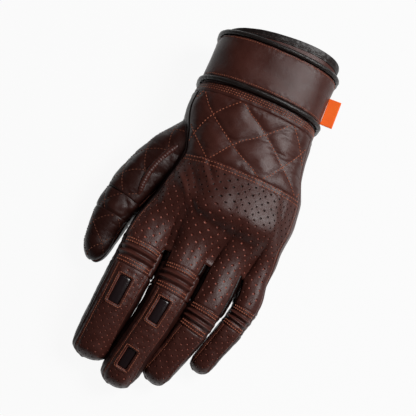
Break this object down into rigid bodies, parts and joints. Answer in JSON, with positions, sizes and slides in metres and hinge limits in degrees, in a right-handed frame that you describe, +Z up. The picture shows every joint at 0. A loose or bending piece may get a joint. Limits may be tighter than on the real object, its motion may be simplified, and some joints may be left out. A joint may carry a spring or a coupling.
{
  "type": "motorcycle riding glove",
  "caption": "Left leather riding glove with quilted back, perforated knuckles over a guard, stretch finger joints and a piped wrist strap.",
  "frame": {"origin": "on the flat underside of the palm patch, where the glove lies palm down", "axes": "+Z up through the back of the hand, +Y towards the cuff's mouth, -X at the thumb"},
  "size_m": [0.1273, 0.2576, 0.0609],
  "materials": {
    "brown_leather": "dark brown grained goat leather, soft sheen",
    "quilted_leather": "dark brown leather, quilted in diamonds over foam",
    "palm_leather": "dark brown leather, matt",
    "black_leather": "black leather, semi-gloss",
    "lining_cloth": "black knitted lining",
    "guard_foam": "matt moulded foam",
    "closure_tape": "hook and loop tape",
    "tab_cloth": "woven orange tape, bare"
  },
  "bodies": {
    "root": {"back_panel": "brown_leather", "quilted_panel": "quilted_leather", "knuckle_guard": "guard_foam", "palm_panel": "brown_leather", "palm_patch": "palm_leather", "heel_pad": "palm_leather", "index_side_panel": "brown_leather", "little_side_panel": "brown_leather", "web_gusset_index_middle": "brown_leather", "web_gusset_middle_ring": "brown_leather", "web_gusset_ring_little": "brown_leather", "back_lining": "lining_cloth", "palm_lining": "lining_cloth", "wrist_tape": "brown_leather", "cuff_sleeve": "brown_leather", "rim_binding": "black_leather", "cuff_band": "brown_leather", "band_piping_upper": "black_leather", "band_piping_lower": "black_leather", "side_tab": "tab_cloth", "loop_tape": "closure_tape", "thumb_base_back": "quilted_leather", "thumb_base_front": "brown_leather", "thumb_crease": "brown_leather", "index_stretch_panel": "brown_leather", "index_crease": "brown_leather", "middle_stretch_panel": "brown_leather", "middle_crease": "brown_leather", "ring_stretch_panel": "brown_leather", "ring_crease": "brown_leather", "little_stretch_panel": "brown_leather", "little_crease": "brown_leather"},
    "index_finger": {"index_back": "brown_leather", "index_front": "brown_leather", "index_thumb_side": "brown_leather", "index_outer_side": "brown_leather", "index_lining": "lining_cloth", "index_window": "black_leather"},
    "middle_finger": {"middle_back": "brown_leather", "middle_front": "brown_leather", "middle_thumb_side": "brown_leather", "middle_outer_side": "brown_leather", "middle_lining": "lining_cloth", "middle_window": "black_leather", "middle_tip_window": "black_leather"},
    "ring_finger": {"ring_back": "brown_leather", "ring_front": "brown_leather", "ring_thumb_side": "brown_leather", "ring_outer_side": "brown_leather", "ring_lining": "lining_cloth"},
    "little_finger": {"little_back": "brown_leather", "little_front": "brown_leather", "little_thumb_side": "brown_leather", "little_outer_side": "brown_leather", "little_lining": "lining_cloth"},
    "thumb_tip": {"thumb_back": "quilted_leather", "thumb_front": "brown_leather", "thumb_lining": "lining_cloth"},
    "wrist_flap": {"cuff_flap": "brown_leather", "hook_tape": "closure_tape"}
  },
  "joints": [
    {"name": "index_flex", "type": "hinge", "parent": "root", "child": "index_finger", "pos_m": [-0.0294, -0.0535, 0.0265], "axis": [1, 0, 0], "range_deg": [-10, 60], "deforming": ["index_stretch_panel", "index_crease"]},
    {"name": "middle_flex", "type": "hinge", "parent": "root", "child": "middle_finger", "pos_m": [0.0001, -0.0565, 0.0285], "axis": [1, 0, 0], "range_deg": [-10, 60], "deforming": ["middle_stretch_panel", "middle_crease"]},
    {"name": "ring_flex", "type": "hinge", "parent": "root", "child": "ring_finger", "pos_m": [0.0254, -0.0715, 0.0245], "axis": [0.9976, -0.0698, 0], "range_deg": [0, 55], "deforming": ["ring_stretch_panel", "ring_crease"]},
    {"name": "little_flex", "type": "hinge", "parent": "root", "child": "little_finger", "pos_m": [0.0483, -0.0575, 0.0208], "axis": [0.9932, -0.1168, 0], "range_deg": [0, 55], "deforming": ["little_stretch_panel", "little_crease"]},
    {"name": "thumb_flex", "type": "hinge", "parent": "root", "child": "thumb_tip", "pos_m": [-0.0561, -0.0256, 0.0143], "axis": [0.8506, -0.1878, 0.4911], "range_deg": [0, 40], "deforming": ["thumb_crease"]},
    {"name": "flap_fold", "type": "hinge", "parent": "root", "child": "wrist_flap", "pos_m": [0.0296, 0.0969, 0.0075], "axis": [0.0914, -0.9957, -0.013], "range_deg": [0, 110]}
  ]
}
